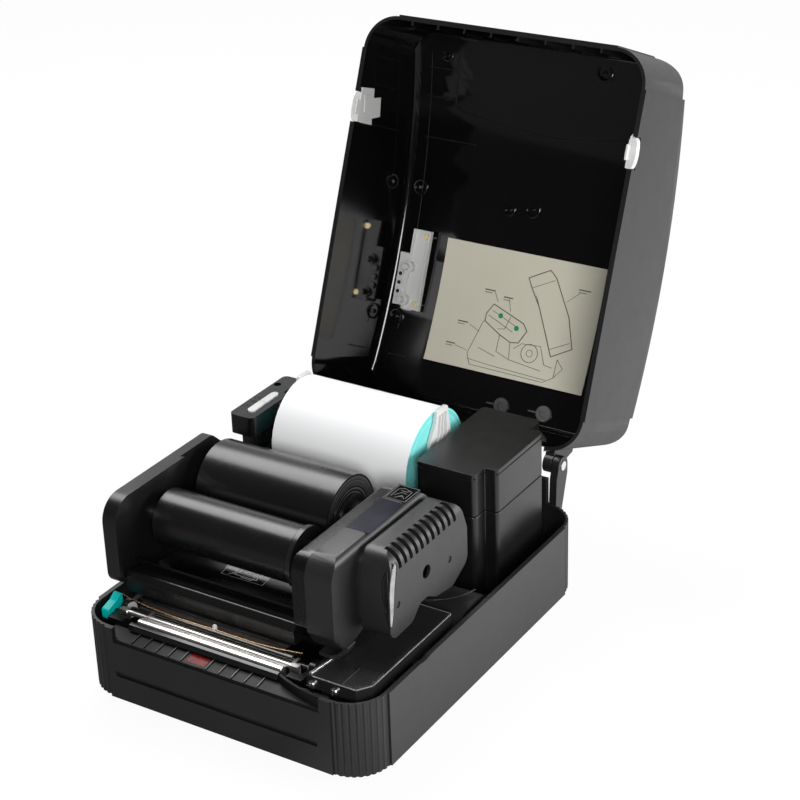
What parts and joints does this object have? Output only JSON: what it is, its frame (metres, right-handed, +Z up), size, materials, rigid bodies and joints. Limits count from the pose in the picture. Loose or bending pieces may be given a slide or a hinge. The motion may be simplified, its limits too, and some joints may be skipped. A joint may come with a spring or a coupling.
{
  "type": "thermal label printer",
  "caption": "Desktop thermal-transfer label printer shown with its hinged cover open: lift-up ribbon carriage, label roll between sliding guides, platen, tear bar and rear electronics tower.",
  "frame": {"origin": "centre of the case's footprint, on the table plane under the rubber feet", "axes": "+X to the printer's right seen from its front, +Y to its back, +Z up; the front panel faces -Y"},
  "size_m": [0.2344, 0.4493, 0.371],
  "materials": {
    "case_black": "fine spark-eroded texture",
    "foot_rubber": "matt",
    "screw_steel": "zinc plated",
    "frame_black": "smooth satin",
    "red_window": "dark red filter",
    "deck_paint": "satin black paint",
    "bright_steel": "ground",
    "white_plastic": "off-white",
    "bronze_wire": "drawn",
    "lens_plastic": "clear green",
    "board_green": "solder resist",
    "switch_black": "glossy",
    "label_beige": "matt paper",
    "key_grey": "satin",
    "bright_aluminium": "pressed",
    "ceramic": "glazed",
    "spindle_grey": "satin",
    "ribbon_black": "wound film",
    "label_paper": "coated paper",
    "teal_plastic": "moulded",
    "platen_rubber": "ground rubber"
  },
  "bodies": {
    "base": {"case_shell": "case_black", "rubber_feet": "foot_rubber", "base_screws": "screw_steel", "bay_floor": "case_black", "print_frame": "frame_black", "outlet_ramp": "frame_black", "sensor_window": "red_window", "metal_deck": "deck_paint", "deck_screws": "screw_steel", "rear_hump": "case_black", "tear_bar": "bright_steel", "tear_bar_cover": "frame_black", "platen_bearings": "white_plastic", "guide_rod": "bright_steel", "hold_down_wire": "bronze_wire", "carriage_posts": "frame_black", "operator_panel": "frame_black", "status_lenses": "lens_plastic", "tower_lower": "frame_black", "tower_cap": "frame_black", "power_board": "board_green", "main_board": "board_green", "motor_bracket": "bright_steel", "stepper_motor": "deck_paint", "hinge_posts": "case_black", "power_inlet": "frame_black", "data_ports": "bright_steel"},
    "rocker": {"power_switch": "switch_black"},
    "cover": {"cover_shell": "case_black", "cover_arms": "case_black", "hinge_pins": "bright_steel", "instruction_label": "label_beige", "key_bracket": "white_plastic", "bracket_screws": "bronze_wire"},
    "pause_plunger": {"pause_key": "key_grey"},
    "feed_plunger": {"feed_key": "key_grey"},
    "left_catch": {"latch_left": "white_plastic"},
    "right_catch": {"latch_right": "white_plastic"},
    "pause_cap": {"pause_button": "white_plastic"},
    "feed_cap": {"feed_button": "white_plastic"},
    "carriage": {"left_plate": "frame_black", "inner_housing": "frame_black", "middle_cover": "frame_black", "gear_cover": "frame_black", "film_guide": "frame_black", "printhead_bracket": "bright_aluminium", "printhead": "ceramic"},
    "supply": {"supply_spindle": "spindle_grey", "supply_ribbon": "ribbon_black"},
    "rewind": {"rewind_spindle": "spindle_grey", "rewind_ribbon": "ribbon_black"},
    "labels": {"label_roll": "label_paper", "label_spindle": "spindle_grey"},
    "left_guide": {"guide_left": "white_plastic"},
    "right_guide": {"guide_right": "white_plastic"},
    "rack_pinion": {"guide_pinion": "white_plastic"},
    "platen": {"platen_roller": "platen_rubber", "platen_gear": "white_plastic"},
    "pinion": {"motor_pinion": "bronze_wire"},
    "lever": {"release_lever": "teal_plastic"}
  },
  "joints": [
    {"name": "cover_hinge", "type": "hinge", "parent": "base", "child": "cover", "pos_m": [0, 0.1547, 0.0843], "axis": [-1, 0, 0], "range_deg": [-112, 0]},
    {"name": "carriage_lift", "type": "hinge", "parent": "base", "child": "carriage", "pos_m": [-0.05, 0.018, 0.096], "axis": [-1, 0, 0], "range_deg": [0, 32]},
    {"name": "supply_spin", "type": "hinge", "parent": "carriage", "child": "supply", "pos_m": [-0.04, -0.006, 0.101], "axis": [1, 0, 0], "continuous": true},
    {"name": "rewind_spin", "type": "hinge", "parent": "carriage", "child": "rewind", "pos_m": [-0.04, -0.064, 0.101], "axis": [1, 0, 0], "continuous": true},
    {"name": "label_spin", "type": "hinge", "parent": "base", "child": "labels", "pos_m": [-0.023, 0.078, 0.108], "axis": [1, 0, 0], "continuous": true},
    {"name": "left_guide_slide", "type": "slide", "parent": "base", "child": "left_guide", "axis": [-1, 0, 0], "range_m": [0, 0.0027]},
    {"name": "right_guide_slide", "type": "slide", "parent": "base", "child": "right_guide", "axis": [1, 0, 0], "range_m": [0, 0.0027]},
    {"name": "guide_pinion_turn", "type": "hinge", "parent": "base", "child": "rack_pinion", "pos_m": [-0.023, 0.086, 0.019], "axis": [0, 0, -1], "range_deg": [0, 20]},
    {"name": "platen_spin", "type": "hinge", "parent": "base", "child": "platen", "pos_m": [-0.02, -0.1105, 0.051], "axis": [1, 0, 0], "continuous": true},
    {"name": "motor_spin", "type": "hinge", "parent": "base", "child": "pinion", "pos_m": [0.062, -0.10136, 0.04186], "axis": [1, 0, 0], "continuous": true},
    {"name": "lever_turn", "type": "hinge", "parent": "base", "child": "lever", "pos_m": [-0.1025, -0.119, 0.053], "axis": [-1, 0, 0], "range_deg": [0, 20]},
    {"name": "pause_cap_press", "type": "slide", "parent": "base", "child": "pause_cap", "axis": [0, 0, -1], "range_m": [0, 0.001], "stiffness_N_per_m": 300, "springref_m": -0.001},
    {"name": "feed_cap_press", "type": "slide", "parent": "base", "child": "feed_cap", "axis": [0, 0, -1], "range_m": [0, 0.001], "stiffness_N_per_m": 300, "springref_m": -0.001},
    {"name": "pause_key_press", "type": "slide", "parent": "cover", "child": "pause_plunger", "axis": [0, -0.9272, 0.3746], "range_m": [0, 0.0012], "stiffness_N_per_m": 400, "springref_m": -0.001},
    {"name": "feed_key_press", "type": "slide", "parent": "cover", "child": "feed_plunger", "axis": [0, -0.9272, 0.3746], "range_m": [0, 0.0012], "stiffness_N_per_m": 400, "springref_m": -0.001},
    {"name": "left_catch_slide", "type": "slide", "parent": "cover", "child": "left_catch", "axis": [1, 0, 0], "range_m": [0, 0.004], "stiffness_N_per_m": 300, "springref_m": -0.001},
    {"name": "right_catch_slide", "type": "slide", "parent": "cover", "child": "right_catch", "axis": [-1, 0, 0], "range_m": [0, 0.004], "stiffness_N_per_m": 300, "springref_m": -0.001},
    {"name": "rocker_tilt", "type": "hinge", "parent": "base", "child": "rocker", "pos_m": [0.083, 0.1422, 0.036], "axis": [1, 0, 0], "range_deg": [0, 10]}
  ],
  "couplings": [
    {"joint": "right_guide_slide", "follows": "left_guide_slide", "ratio": 1},
    {"joint": "guide_pinion_turn", "follows": "left_guide_slide", "rad_per_m": 125},
    {"joint": "motor_spin", "follows": "platen_spin", "ratio": -1.2857}
  ]
}
